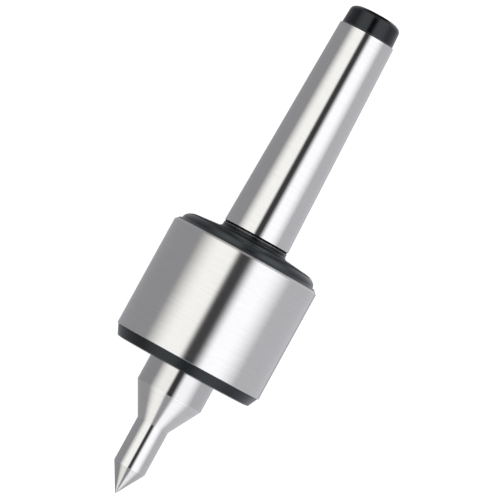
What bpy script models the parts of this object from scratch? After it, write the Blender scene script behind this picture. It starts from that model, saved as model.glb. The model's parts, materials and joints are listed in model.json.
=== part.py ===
"""Live center with a Morse taper No. 3 shank and an extended 60 degree nose.

The spin axis is world X and the nose points to +X. The origin is the middle of the object. Turned
pieces are outlines of (radius, station) points, where a station is a distance from the tip, measured
along the axis towards the tail. An outline runs down its outer side and back up its bore.
"""

import math

import bmesh
import bpy
from mathutils import Matrix

MM = 0.001
GAP = 0.3 * MM  # between pieces that touch, or are pressed or screwed together
ROLL_GAP = 0.2 * MM  # between a ball or needle and the race it rolls on
CASE_SEGMENTS = 40  # around the body, the front cap and the spindle
RING_SEGMENTS = 32  # around the pieces inside
BALL_SEGMENTS = 10
PIN_SEGMENTS = 12  # around a needle, a hole or a pocket
GROOVE_STEPS = 5  # along the arc of a ball race
ROUND_STEPS = 3  # along a rounded edge or a fillet
SHARP_ANGLE = math.radians(30)
MERGE_DISTANCE = 0.01 * MM

# Whole object
OVERALL_LENGTH = 184.0 * MM

# Spindle, by station from the tip
POINT_HALF_ANGLE = math.radians(30)
TIP_FLAT_RADIUS = 0.12 * MM
NOSE_RADIUS = 5.83 * MM
NOSE_END = 26.3 * MM
SHOULDER_RADIUS = 12.08 * MM
SHOULDER_START = 37.7 * MM
SEAT_RADIUS = 10.0 * MM
STEM_RADIUS = 8.5 * MM
STEM_END = 84.0 * MM
CLIP_GROOVE_RADIUS = 8.1 * MM
JOURNAL_END = 104.8 * MM
EDGE_CHAMFER = 0.4 * MM
CENTRE_HOLE_RADIUS = 2.0 * MM

# Front cap
CAP_STATION = 46.98 * MM
CAP_FLANGE = 3.82 * MM
CAP_LENGTH = 9.52 * MM
CAP_FACE_RADIUS = 23.6 * MM
CAP_BEVEL = 0.27 * MM
CAP_BEVEL_RADIUS = 25.05 * MM
CAP_RIM_RADIUS = 26.75 * MM
CAP_THREAD_RADIUS = 25.0 * MM
CAP_LIP = 2.02 * MM
CAP_BORE_CLEARANCE = 0.5 * MM
SPANNER_HOLES = 4
SPANNER_HOLE_RADIUS = 2.0 * MM
SPANNER_HOLE_DEPTH = 3.5 * MM
SPANNER_HOLE_PITCH_RADIUS = 21.3 * MM

# Shaft seal, 24 x 35 x 7
SEAL_RADIUS = 17.5 * MM
SEAL_WIDTH = 7.0 * MM
SEAL_SKIN = 1.3 * MM

# Front deep groove ball bearing, 20 x 47 x 14
RACE_OUTER_RADIUS = 23.5 * MM
RACE_BORE_RADIUS = 10.0 * MM
RACE_WIDTH = 14.0 * MM
RACE_CHAMFER = 0.8 * MM
BALL_RADIUS = 3.97 * MM
BALL_PITCH_RADIUS = 16.75 * MM
BALLS = 8
INNER_LAND_RADIUS = 14.4 * MM
OUTER_LAND_RADIUS = 19.2 * MM
SHIELD_SEAT_RADIUS = 20.3 * MM
SHIELD_SEAT_DEPTH = 1.1 * MM
SHIELD_THICKNESS = 0.5 * MM
CAGE_INNER_RADIUS = 15.4 * MM
CAGE_OUTER_RADIUS = 18.1 * MM
CAGE_HALF_WIDTH = 5.1 * MM

# Spacer sleeve between the two bearings
SPACER_LENGTH = 2.7 * MM
SPACER_RADIUS = 13.0 * MM

# Thrust ball bearing, 20 x 35 x 10
THRUST_RADIUS = 17.5 * MM
THRUST_WIDTH = 10.0 * MM
WASHER_THICKNESS = 3.0 * MM
SHAFT_WASHER_RADIUS = 17.1 * MM
HOUSING_WASHER_BORE_RADIUS = 10.5 * MM
THRUST_BALL_RADIUS = 2.5 * MM
THRUST_PITCH_RADIUS = 13.75 * MM
THRUST_BALLS = 12
THRUST_CAGE_INNER_RADIUS = 10.2 * MM
THRUST_CAGE_OUTER_RADIUS = 17.2 * MM
THRUST_CAGE_THICKNESS = 1.2 * MM

# Retaining ring on the stem of the spindle
CLIP_THICKNESS = 1.0 * MM
CLIP_INNER_RADIUS = 8.3 * MM
CLIP_OUTER_RADIUS = 10.3 * MM
CLIP_OPENING = 4.4 * MM
CLIP_PLAY = 0.2 * MM

# Rear needle bearing, drawn cup 12 x 18 x 12
CUP_RADIUS = 9.0 * MM
CUP_WIDTH = 12.0 * MM
CUP_WALL = 0.8 * MM
CUP_LIP_RADIUS = 6.6 * MM
NEEDLE_RADIUS = 1.0 * MM
NEEDLE_LENGTH = 7.8 * MM
NEEDLE_PITCH_RADIUS = 7.0 * MM
NEEDLES = 12
NEEDLE_CAGE_INNER_RADIUS = 6.5 * MM
NEEDLE_CAGE_OUTER_RADIUS = 7.5 * MM
NEEDLE_CAGE_WIDTH = 9.8 * MM
JOURNAL_RADIUS = NEEDLE_PITCH_RADIUS - NEEDLE_RADIUS - ROLL_GAP

# Stack on the spindle, from the front cap to the bottom of the blind bore
BODY_STATION = CAP_STATION + CAP_FLANGE + GAP
BEARING_STATION = CAP_STATION + CAP_LENGTH + GAP
BEARING_END = BEARING_STATION + RACE_WIDTH
SPACER_STATION = BEARING_END + GAP
SHAFT_WASHER_STATION = SPACER_STATION + SPACER_LENGTH + GAP
HOUSING_WASHER_STATION = SHAFT_WASHER_STATION + THRUST_WIDTH - WASHER_THICKNESS
THRUST_END = SHAFT_WASHER_STATION + THRUST_WIDTH
CLIP_STATION = SHAFT_WASHER_STATION + WASHER_THICKNESS + GAP
CUP_STATION = THRUST_END + 2 * GAP
CUP_END = CUP_STATION + CUP_WIDTH

# Body: drum, then Morse taper No. 3
DRUM_RADIUS = 27.15 * MM
DRUM_LEAD = 0.2 * MM
DRUM_END = 91.0 * MM
DRUM_CHAMFER_RADIUS = 25.75 * MM
DRUM_CHAMFER_END = 92.4 * MM
DOME_RADIUS = 25.05 * MM
DOME_START = 92.55 * MM
REAR_EDGE_RADIUS = 20.2 * MM
REAR_EDGE_STATION = 95.6 * MM
REAR_FACE_STATION = 96.35 * MM
NECK_FILLET = 1.2 * MM
NECK_RADIUS = 12.0 * MM
NECK_GROOVE_RADIUS = 11.75 * MM
NECK_GROOVE = 0.3 * MM
TAPER_START = 98.9 * MM
TAPER_START_RADIUS = 12.08 * MM
TAPER_PER_LENGTH = 0.05020  # change of diameter, Morse taper No. 3
TAPER_END = 176.2 * MM
COLLAR_START = 176.6 * MM
COLLAR_RADIUS = 9.6 * MM
COLLAR_END_RADIUS = 9.35 * MM
COLLAR_ROUND = 2.4 * MM
TAIL_ROUND_DEPTH = 3.9 * MM
TAIL_HOLE_RADIUS = 3.2 * MM
TAIL_PILOT_RADIUS = 1.25 * MM
TAIL_PILOT_DEPTH = 6.5 * MM
BLIND_BORE_RADIUS = 6.6 * MM
BLIND_BORE_END = 106.0 * MM
DRILL_HALF_ANGLE = math.radians(59)

# Material name: (red, green, blue), roughness, metallic
FINISHES = {
    "body_ground_steel": ((0.60, 0.60, 0.61), 0.22, 1.0),
    "spindle_ground_steel": ((0.60, 0.60, 0.61), 0.20, 1.0),
    "cap_black_oxide": ((0.035, 0.037, 0.040), 0.38, 0.6),
    "seal_rubber": ((0.020, 0.020, 0.022), 0.60, 0.0),
    "race_steel": ((0.66, 0.66, 0.67), 0.14, 1.0),
    "ball_steel": ((0.72, 0.72, 0.73), 0.06, 1.0),
    "shield_steel": ((0.52, 0.52, 0.53), 0.32, 1.0),
    "front_cage_polyamide": ((0.62, 0.55, 0.38), 0.45, 0.0),
    "spacer_steel": ((0.45, 0.45, 0.46), 0.30, 1.0),
    "thrust_cage_brass": ((0.72, 0.54, 0.24), 0.30, 1.0),
    "clip_spring_steel": ((0.09, 0.09, 0.10), 0.35, 0.9),
    "needle_cup_steel": ((0.55, 0.55, 0.56), 0.26, 1.0),
    "needle_cage_steel": ((0.40, 0.40, 0.41), 0.35, 1.0),
}


def clear_scene():
    for obj in list(bpy.data.objects):
        bpy.data.objects.remove(obj, do_unlink=True)


def new_collection(name):
    collection = bpy.data.collections.new(name)
    bpy.context.scene.collection.children.link(collection)
    return collection


def principled(name):
    """The material of that name, made the first time it is asked for."""
    material = bpy.data.materials.get(name)
    if material:
        return material
    colour, roughness, metallic = FINISHES[name]
    material = bpy.data.materials.new(name)
    material.use_nodes = True
    shader = material.node_tree.nodes["Principled BSDF"]
    shader.inputs["Base Color"].default_value = (*colour, 1.0)
    shader.inputs["Roughness"].default_value = roughness
    shader.inputs["Metallic"].default_value = metallic
    material.diffuse_color = (*colour, 1.0)
    return material


def arc(centre, radii, start, end, steps):
    """Points along an ellipse, by angles in degrees: 0 points outward, 90 points to the tail."""
    points = []
    for step in range(steps + 1):
        angle = math.radians(start + (end - start) * step / steps)
        points.append(
            (centre[0] + radii[0] * math.cos(angle), centre[1] + radii[1] * math.sin(angle))
        )
    return points


class Builder:
    """Adds the pieces to their collections and hangs them on the axis of the center."""

    def __init__(self):
        self.parts = new_collection("live_center")
        self.cutters = new_collection("cutters")
        self.axis = self.empty("center_axis", None)
        self.axis.rotation_euler = (0, math.pi / 2, 0)

    def empty(self, name, parent):
        """An empty on the axis, which a moving group hangs on. Its local Z runs towards the nose."""
        empty = bpy.data.objects.new(name, None)
        empty.empty_display_size = 10 * MM
        empty.parent = parent
        self.parts.objects.link(empty)
        return empty

    def add(self, name, mesh, parent, station, material):
        obj = bpy.data.objects.new(name, mesh)
        self.parts.objects.link(obj)
        obj.parent = parent
        obj.location.z = OVERALL_LENGTH / 2 - station
        if not mesh.materials:
            mesh.materials.append(principled(material))
        return obj

    def turned(self, name, outline, station, parent, material, segments=RING_SEGMENTS):
        """A turned solid. An outline whose ends lie on the axis stays open there, any other is a ring."""
        bm = bmesh.new()
        verts = [bm.verts.new((radius, 0, station - s)) for radius, s in outline]
        for first, second in zip(verts, verts[1:]):
            bm.edges.new((first, second))
        if outline[0][0] > 0:
            bm.edges.new((verts[-1], verts[0]))
        obj = self.add(name, mesh_of(bm, name), parent, station, material)
        screw = obj.modifiers.new("turn", "SCREW")
        screw.steps = segments
        screw.render_steps = segments
        screw.use_merge_vertices = True
        screw.merge_threshold = MERGE_DISTANCE
        self.bake(obj)
        return obj

    def bake(self, obj):
        """Puts the evaluated mesh in the profile's place, shaded smooth up to the sharp edges."""
        graph = bpy.context.evaluated_depsgraph_get()
        profile = obj.data
        obj.data = bpy.data.meshes.new_from_object(obj.evaluated_get(graph))
        obj.modifiers.clear()
        bpy.data.meshes.remove(profile)
        obj.data.name = obj.name
        shade(obj.data)

    def cut(self, target, name, matrices, add_shape):
        """Cuts a set of equal shapes from target, one for each matrix."""
        bm = bmesh.new()
        for matrix in matrices:
            add_shape(bm, matrix)
        cutter = bpy.data.objects.new(name, mesh_of(bm, name))
        self.cutters.objects.link(cutter)
        cutter.parent = target
        cutter.hide_render = True
        cutter.display_type = "WIRE"
        modifier = target.modifiers.new(name, "BOOLEAN")
        modifier.operation = "DIFFERENCE"
        modifier.solver = "EXACT"
        modifier.object = cutter


def mesh_of(bm, name):
    mesh = bpy.data.meshes.new(name)
    bm.to_mesh(mesh)
    bm.free()
    return mesh


def shade(mesh):
    mesh.shade_smooth()
    mesh.set_sharp_from_angle(angle=SHARP_ANGLE)


def cylinder(radius, length):
    """A function that adds a cylinder along the local Z of the matrix it is given."""

    def add_shape(bm, matrix):
        bmesh.ops.create_cone(
            bm,
            cap_ends=True,
            segments=PIN_SEGMENTS,
            radius1=radius,
            radius2=radius,
            depth=length,
            matrix=matrix,
        )

    return add_shape


def cuboid(size):
    """A function that adds a box of that size."""

    def add_shape(bm, matrix):
        bmesh.ops.create_cube(bm, size=1, matrix=matrix @ Matrix.Diagonal((*size, 1)))

    return add_shape


def around(count, radius, tilt=None):
    """Matrices for count places around the axis, with local X outward, then tilted."""
    places = []
    for index in range(count):
        turn = Matrix.Rotation(2 * math.pi * index / count, 4, "Z")
        place = turn @ Matrix.Translation((radius, 0, 0))
        places.append(place @ tilt if tilt else place)
    return places


def ball_mesh(name, radius):
    bm = bmesh.new()
    bmesh.ops.create_uvsphere(
        bm, u_segments=BALL_SEGMENTS, v_segments=BALL_SEGMENTS // 2, radius=radius
    )
    mesh = mesh_of(bm, name)
    mesh.shade_smooth()
    return mesh


def needle_mesh(name):
    bm = bmesh.new()
    cylinder(NEEDLE_RADIUS, NEEDLE_LENGTH)(bm, Matrix.Identity(4))
    mesh = mesh_of(bm, name)
    shade(mesh)
    return mesh


def rolling_set(build, name, mesh, count, pitch_radius, station, parent):
    """Equal balls or needles around the axis, each with its origin at its own centre."""
    for index in range(count):
        angle = 2 * math.pi * index / count
        obj = build.add(f"{name}_{index + 1}", mesh, parent, station, "ball_steel")
        obj.location.x = pitch_radius * math.cos(angle)
        obj.location.y = pitch_radius * math.sin(angle)
        obj.rotation_euler.z = angle


def spindle(build, parent):
    point_length = (NOSE_RADIUS - TIP_FLAT_RADIUS) / math.tan(POINT_HALF_ANGLE)
    shoulder_end = BEARING_STATION - GAP
    seat_end = CLIP_STATION - GAP - CLIP_PLAY
    outline = [
        (0, 0),
        (TIP_FLAT_RADIUS, 0),
        (NOSE_RADIUS, point_length),
        (NOSE_RADIUS, NOSE_END),
        (SHOULDER_RADIUS, SHOULDER_START),
        (SHOULDER_RADIUS, shoulder_end),
        (SEAT_RADIUS, shoulder_end),
        (SEAT_RADIUS, seat_end),
        (STEM_RADIUS, seat_end),
        (STEM_RADIUS, CLIP_STATION - CLIP_PLAY),
        (CLIP_GROOVE_RADIUS, CLIP_STATION - CLIP_PLAY),
        (CLIP_GROOVE_RADIUS, CLIP_STATION + CLIP_THICKNESS + CLIP_PLAY),
        (STEM_RADIUS, CLIP_STATION + CLIP_THICKNESS + CLIP_PLAY),
        (STEM_RADIUS, STEM_END),
        (JOURNAL_RADIUS, STEM_END),
        (JOURNAL_RADIUS, JOURNAL_END - EDGE_CHAMFER),
        (JOURNAL_RADIUS - EDGE_CHAMFER, JOURNAL_END),
        (CENTRE_HOLE_RADIUS, JOURNAL_END),
        (0, JOURNAL_END - CENTRE_HOLE_RADIUS / math.tan(POINT_HALF_ANGLE)),
    ]
    build.turned("spindle", outline, 0, parent, "spindle_ground_steel", CASE_SEGMENTS)


def body(build, parent):
    """Drum and taper shank in one piece, bored from the front for the bearings."""
    bearing_bore = RACE_OUTER_RADIUS + GAP
    thrust_bore = THRUST_RADIUS + GAP
    cup_bore = CUP_RADIUS + GAP
    thread_bore = CAP_THREAD_RADIUS + GAP
    drill_depth = BLIND_BORE_RADIUS / math.tan(DRILL_HALF_ANGLE)
    bore = [
        (0, BLIND_BORE_END + drill_depth),
        (BLIND_BORE_RADIUS, BLIND_BORE_END),
        (BLIND_BORE_RADIUS, CUP_END + GAP),
        (cup_bore, CUP_END + GAP),
        (cup_bore, THRUST_END + GAP),
        (thrust_bore, THRUST_END + GAP),
        (thrust_bore, BEARING_END + GAP),
        (bearing_bore, BEARING_END + GAP),
        (bearing_bore, BEARING_STATION + GAP),
        (thread_bore, BEARING_STATION + GAP),
        (thread_bore, BODY_STATION),
    ]
    drum = [
        (DRUM_RADIUS - DRUM_LEAD, BODY_STATION),
        (DRUM_RADIUS, BODY_STATION + DRUM_LEAD),
        (DRUM_RADIUS, DRUM_END),
        (DRUM_CHAMFER_RADIUS, DRUM_CHAMFER_END),
    ]
    edge = (DOME_RADIUS - REAR_EDGE_RADIUS, REAR_EDGE_STATION - DOME_START)
    drum += arc((REAR_EDGE_RADIUS, DOME_START), edge, 0, 90, 2 * ROUND_STEPS)
    fillet = (NECK_RADIUS + NECK_FILLET, REAR_FACE_STATION + NECK_FILLET)
    drum += arc(fillet, (NECK_FILLET, NECK_FILLET), 270, 180, ROUND_STEPS)
    taper_drop = (TAPER_END - TAPER_START) * TAPER_PER_LENGTH / 2
    tail_round = (COLLAR_END_RADIUS - TAIL_ROUND_DEPTH, OVERALL_LENGTH - COLLAR_ROUND)
    shank = [
        (NECK_RADIUS, TAPER_START - 2 * NECK_GROOVE),
        (NECK_GROOVE_RADIUS, TAPER_START - NECK_GROOVE),
        (TAPER_START_RADIUS, TAPER_START),
        (TAPER_START_RADIUS - taper_drop, TAPER_END),
        (COLLAR_RADIUS, COLLAR_START),
    ]
    shank += arc(tail_round, (TAIL_ROUND_DEPTH, COLLAR_ROUND), 0, 90, ROUND_STEPS)
    pilot_start = OVERALL_LENGTH - (TAIL_HOLE_RADIUS - TAIL_PILOT_RADIUS) / math.tan(POINT_HALF_ANGLE)
    shank += [
        (TAIL_HOLE_RADIUS, OVERALL_LENGTH),
        (TAIL_PILOT_RADIUS, pilot_start),
        (TAIL_PILOT_RADIUS, OVERALL_LENGTH - TAIL_PILOT_DEPTH),
        (0, OVERALL_LENGTH - TAIL_PILOT_DEPTH - TAIL_PILOT_RADIUS / math.tan(DRILL_HALF_ANGLE)),
    ]
    outline = bore + drum + shank
    build.turned("body", outline, BODY_STATION, parent, "body_ground_steel", CASE_SEGMENTS)


def front_cap(build, parent):
    """Threaded cap that clamps the outer ring of the front bearing and holds the seal."""
    bore = SHOULDER_RADIUS + CAP_BORE_CLEARANCE
    pocket = SEAL_RADIUS + GAP
    flange_end = CAP_STATION + CAP_FLANGE
    cap_end = CAP_STATION + CAP_LENGTH
    outline = [
        (CAP_FACE_RADIUS, CAP_STATION),
        (CAP_BEVEL_RADIUS, CAP_STATION + CAP_BEVEL),
        (CAP_RIM_RADIUS, flange_end),
        (CAP_THREAD_RADIUS, flange_end),
        (CAP_THREAD_RADIUS, cap_end - EDGE_CHAMFER),
        (CAP_THREAD_RADIUS - EDGE_CHAMFER, cap_end),
        (pocket, cap_end),
        (pocket, CAP_STATION + CAP_LIP),
        (bore, CAP_STATION + CAP_LIP),
        (bore, CAP_STATION + EDGE_CHAMFER),
        (bore + EDGE_CHAMFER, CAP_STATION),
    ]
    cap = build.turned("front_cap", outline, CAP_STATION, parent, "cap_black_oxide", CASE_SEGMENTS)
    holes = around(SPANNER_HOLES, SPANNER_HOLE_PITCH_RADIUS)
    build.cut(cap, "spanner_holes", holes, cylinder(SPANNER_HOLE_RADIUS, 2 * SPANNER_HOLE_DEPTH))


def nose_seal(build, parent):
    """Rubber covered ring with a lip that leans on the shoulder of the spindle."""
    front = CAP_STATION + CAP_LIP + GAP
    rear = front + SEAL_WIDTH
    lip = SHOULDER_RADIUS + GAP
    waist = lip + SEAL_SKIN
    outline = [
        (SEAL_RADIUS, front),
        (SEAL_RADIUS, rear),
        (SEAL_RADIUS - SEAL_SKIN, rear),
        (SEAL_RADIUS - SEAL_SKIN, front + SEAL_SKIN),
        (waist, front + SEAL_SKIN),
        (waist, rear - SEAL_SKIN),
        (lip, rear - 2 * SEAL_SKIN),
        (lip + GAP, front + SEAL_SKIN),
        (lip, front),
    ]
    build.turned("nose_seal", outline, front, parent, "seal_rubber")


def front_bearing(build, housing, shaft, cage_turn):
    """Deep groove ball bearing: two rings, two shields, a cage and its balls."""
    middle = BEARING_STATION + RACE_WIDTH / 2
    groove = BALL_RADIUS + ROLL_GAP
    outer_angle = math.degrees(math.acos((OUTER_LAND_RADIUS - BALL_PITCH_RADIUS) / groove))
    inner_angle = math.degrees(math.acos((BALL_PITCH_RADIUS - INNER_LAND_RADIUS) / groove))
    centre = (BALL_PITCH_RADIUS, middle)
    radii = (groove, groove)

    outer = [
        (RACE_OUTER_RADIUS - RACE_CHAMFER, BEARING_STATION),
        (RACE_OUTER_RADIUS, BEARING_STATION + RACE_CHAMFER),
        (RACE_OUTER_RADIUS, BEARING_END - RACE_CHAMFER),
        (RACE_OUTER_RADIUS - RACE_CHAMFER, BEARING_END),
        (SHIELD_SEAT_RADIUS, BEARING_END),
        (SHIELD_SEAT_RADIUS, BEARING_END - SHIELD_SEAT_DEPTH),
        (OUTER_LAND_RADIUS, BEARING_END - SHIELD_SEAT_DEPTH),
        *arc(centre, radii, outer_angle, -outer_angle, GROOVE_STEPS),
        (OUTER_LAND_RADIUS, BEARING_STATION + SHIELD_SEAT_DEPTH),
        (SHIELD_SEAT_RADIUS, BEARING_STATION + SHIELD_SEAT_DEPTH),
        (SHIELD_SEAT_RADIUS, BEARING_STATION),
    ]
    build.turned("front_bearing_outer_ring", outer, BEARING_STATION, housing, "race_steel")

    bore = RACE_BORE_RADIUS + GAP
    inner = [
        (INNER_LAND_RADIUS, BEARING_STATION),
        *arc(centre, radii, 180 + inner_angle, 180 - inner_angle, GROOVE_STEPS),
        (INNER_LAND_RADIUS, BEARING_END),
        (bore + RACE_CHAMFER, BEARING_END),
        (bore, BEARING_END - RACE_CHAMFER),
        (bore, BEARING_STATION + RACE_CHAMFER),
        (bore + RACE_CHAMFER, BEARING_STATION),
    ]
    build.turned("front_bearing_inner_ring", inner, BEARING_STATION, shaft, "race_steel")

    inset = (SHIELD_SEAT_DEPTH - SHIELD_THICKNESS) / 2
    shields = (
        ("front_bearing_shield_nose_side", BEARING_STATION + inset),
        ("front_bearing_shield_tail_side", BEARING_END - inset - SHIELD_THICKNESS),
    )
    for name, station in shields:
        shield = [
            (SHIELD_SEAT_RADIUS - GAP, station),
            (SHIELD_SEAT_RADIUS - GAP, station + SHIELD_THICKNESS),
            (INNER_LAND_RADIUS + GAP, station + SHIELD_THICKNESS),
            (INNER_LAND_RADIUS + GAP, station),
        ]
        build.turned(name, shield, station, housing, "shield_steel")

    ring = [
        (CAGE_OUTER_RADIUS, middle - CAGE_HALF_WIDTH),
        (CAGE_OUTER_RADIUS, middle + CAGE_HALF_WIDTH),
        (CAGE_INNER_RADIUS, middle + CAGE_HALF_WIDTH),
        (CAGE_INNER_RADIUS, middle - CAGE_HALF_WIDTH),
    ]
    cage = build.turned("front_bearing_cage", ring, middle, cage_turn, "front_cage_polyamide")
    outward = Matrix.Rotation(math.pi / 2, 4, "Y")
    pockets = around(BALLS, BALL_PITCH_RADIUS, tilt=outward)
    build.cut(cage, "ball_pockets", pockets, cylinder(BALL_RADIUS + GAP, 4 * BALL_RADIUS))

    mesh = ball_mesh("front_bearing_ball", BALL_RADIUS)
    rolling_set(build, "front_ball", mesh, BALLS, BALL_PITCH_RADIUS, middle, cage_turn)


def spacer_sleeve(build, parent):
    bore = SEAT_RADIUS + GAP
    end = SPACER_STATION + SPACER_LENGTH
    outline = [
        (SPACER_RADIUS, SPACER_STATION),
        (SPACER_RADIUS, end),
        (bore, end),
        (bore, SPACER_STATION),
    ]
    build.turned("spacer_sleeve", outline, SPACER_STATION, parent, "spacer_steel")


def thrust_bearing(build, housing, shaft, cage_turn):
    """Thrust ball bearing that carries the push of the workpiece from the spindle to the body."""
    middle = SHAFT_WASHER_STATION + THRUST_WIDTH / 2
    groove = THRUST_BALL_RADIUS + ROLL_GAP
    centre = (THRUST_PITCH_RADIUS, middle)
    shaft_face = SHAFT_WASHER_STATION + WASHER_THICKNESS
    half_width = math.degrees(math.acos((middle - shaft_face) / groove))

    shaft_bore = SEAT_RADIUS + GAP
    shaft_washer = [
        (SHAFT_WASHER_RADIUS, SHAFT_WASHER_STATION),
        (SHAFT_WASHER_RADIUS, shaft_face),
        *arc(centre, (groove, groove), -90 + half_width, -90 - half_width, GROOVE_STEPS),
        (shaft_bore, shaft_face),
        (shaft_bore, SHAFT_WASHER_STATION),
    ]
    build.turned("thrust_shaft_washer", shaft_washer, SHAFT_WASHER_STATION, shaft, "race_steel")

    housing_washer = [
        *arc(centre, (groove, groove), 90 + half_width, 90 - half_width, GROOVE_STEPS),
        (THRUST_RADIUS, HOUSING_WASHER_STATION),
        (THRUST_RADIUS, THRUST_END),
        (HOUSING_WASHER_BORE_RADIUS, THRUST_END),
        (HOUSING_WASHER_BORE_RADIUS, HOUSING_WASHER_STATION),
    ]
    build.turned("thrust_housing_washer", housing_washer, HOUSING_WASHER_STATION, housing, "race_steel")

    front = middle - THRUST_CAGE_THICKNESS / 2
    rear = middle + THRUST_CAGE_THICKNESS / 2
    ring = [
        (THRUST_CAGE_OUTER_RADIUS, front),
        (THRUST_CAGE_OUTER_RADIUS, rear),
        (THRUST_CAGE_INNER_RADIUS, rear),
        (THRUST_CAGE_INNER_RADIUS, front),
    ]
    cage = build.turned("thrust_cage", ring, middle, cage_turn, "thrust_cage_brass")
    pockets = around(THRUST_BALLS, THRUST_PITCH_RADIUS)
    pocket = cylinder(THRUST_BALL_RADIUS + GAP, 4 * THRUST_BALL_RADIUS)
    build.cut(cage, "thrust_ball_pockets", pockets, pocket)

    mesh = ball_mesh("thrust_bearing_ball", THRUST_BALL_RADIUS)
    rolling_set(build, "thrust_ball", mesh, THRUST_BALLS, THRUST_PITCH_RADIUS, middle, cage_turn)


def retaining_ring(build, parent):
    """Snap ring in the groove of the stem: an open ring that keeps the stack on the spindle."""
    outline = [
        (CLIP_OUTER_RADIUS, CLIP_STATION),
        (CLIP_OUTER_RADIUS, CLIP_STATION + CLIP_THICKNESS),
        (CLIP_INNER_RADIUS, CLIP_STATION + CLIP_THICKNESS),
        (CLIP_INNER_RADIUS, CLIP_STATION),
    ]
    ring = build.turned("retaining_ring", outline, CLIP_STATION, parent, "clip_spring_steel")
    middle = -CLIP_THICKNESS / 2
    opening = [Matrix.Translation((CLIP_OUTER_RADIUS, 0, middle))]
    size = (CLIP_OUTER_RADIUS, CLIP_OPENING, 3 * CLIP_THICKNESS)
    build.cut(ring, "clip_opening", opening, cuboid(size))


def needle_bearing(build, housing, cage_turn):
    """Drawn cup needle bearing. Its needles run straight on the journal of the spindle."""
    middle = CUP_STATION + CUP_WIDTH / 2
    race = NEEDLE_PITCH_RADIUS + NEEDLE_RADIUS + ROLL_GAP
    outline = [
        (CUP_RADIUS, CUP_STATION),
        (CUP_RADIUS, CUP_END),
        (CUP_LIP_RADIUS, CUP_END),
        (CUP_LIP_RADIUS, CUP_END - CUP_WALL),
        (race, CUP_END - CUP_WALL),
        (race, CUP_STATION + CUP_WALL),
        (CUP_LIP_RADIUS, CUP_STATION + CUP_WALL),
        (CUP_LIP_RADIUS, CUP_STATION),
    ]
    build.turned("needle_cup", outline, CUP_STATION, housing, "needle_cup_steel")

    front = middle - NEEDLE_CAGE_WIDTH / 2
    rear = middle + NEEDLE_CAGE_WIDTH / 2
    ring = [
        (NEEDLE_CAGE_OUTER_RADIUS, front),
        (NEEDLE_CAGE_OUTER_RADIUS, rear),
        (NEEDLE_CAGE_INNER_RADIUS, rear),
        (NEEDLE_CAGE_INNER_RADIUS, front),
    ]
    cage = build.turned("needle_cage", ring, middle, cage_turn, "needle_cage_steel")
    pocket = (4 * NEEDLE_RADIUS, 2 * (NEEDLE_RADIUS + ROLL_GAP), NEEDLE_LENGTH + 2 * ROLL_GAP)
    build.cut(cage, "needle_pockets", around(NEEDLES, NEEDLE_PITCH_RADIUS), cuboid(pocket))

    mesh = needle_mesh("needle")
    rolling_set(build, "needle", mesh, NEEDLES, NEEDLE_PITCH_RADIUS, middle, cage_turn)


def main():
    clear_scene()
    build = Builder()
    housing = build.empty("housing", build.axis)
    shaft = build.empty("spindle_turn", build.axis)
    front_turn = build.empty("front_cage_turn", build.axis)
    thrust_turn = build.empty("thrust_cage_turn", build.axis)
    needle_turn = build.empty("needle_cage_turn", build.axis)

    body(build, housing)
    front_cap(build, housing)
    nose_seal(build, housing)
    spindle(build, shaft)
    front_bearing(build, housing, shaft, front_turn)
    spacer_sleeve(build, shaft)
    thrust_bearing(build, housing, shaft, thrust_turn)
    retaining_ring(build, shaft)
    needle_bearing(build, housing, needle_turn)


main()
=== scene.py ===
"""The looks of the live center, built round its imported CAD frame.

Every piece is made again with a fine outline and rounded edges, and stands for the CAD node of the
same name. Outlines are (radius, station) or (radius, station, rounding) points in metres. A station
is a distance from the tip of the point, measured along the spin axis towards the tail.
"""

import json
import math

import bmesh
import bpy
from mathutils import Matrix, Vector


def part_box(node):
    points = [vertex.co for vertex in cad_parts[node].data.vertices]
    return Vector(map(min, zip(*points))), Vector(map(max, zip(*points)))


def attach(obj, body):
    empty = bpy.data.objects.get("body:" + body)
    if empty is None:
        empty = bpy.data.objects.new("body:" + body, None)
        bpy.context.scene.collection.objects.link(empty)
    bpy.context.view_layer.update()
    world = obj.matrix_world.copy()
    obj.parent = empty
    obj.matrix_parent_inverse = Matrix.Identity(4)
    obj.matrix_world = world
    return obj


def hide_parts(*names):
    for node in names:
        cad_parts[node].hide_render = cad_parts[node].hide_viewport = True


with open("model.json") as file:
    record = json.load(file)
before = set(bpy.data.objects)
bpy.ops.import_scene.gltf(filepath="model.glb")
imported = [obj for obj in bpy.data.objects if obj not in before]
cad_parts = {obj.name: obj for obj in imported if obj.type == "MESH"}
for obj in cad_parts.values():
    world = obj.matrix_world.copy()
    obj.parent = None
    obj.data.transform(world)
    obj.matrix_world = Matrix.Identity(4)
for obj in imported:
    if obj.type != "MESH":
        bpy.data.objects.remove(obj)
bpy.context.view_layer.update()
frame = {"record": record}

MM = 0.001
TIP_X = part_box("spindle")[1].x
LENGTH = TIP_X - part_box("body")[0].x


def span(node):
    """(front station, rear station, outer radius) of a CAD node that is turned about the spin axis."""
    low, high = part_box(node)
    return TIP_X - high.x, TIP_X - low.x, high.y


# Round shapes
CASE_SEGMENTS = 256
RING_SEGMENTS = 128
BALL_SEGMENTS = 40
POCKET_SEGMENTS = 48
ROUND_STEPS = 4
EDGE = 0.25 * MM  # rounding of a machined edge
FINE_EDGE = 0.12 * MM
CRISP_EDGE = 0.05 * MM
HAIRLINE = 0.03 * MM  # between pieces that are screwed tight together
GAP = 0.3 * MM  # clearance in the CAD between pieces that touch

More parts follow.
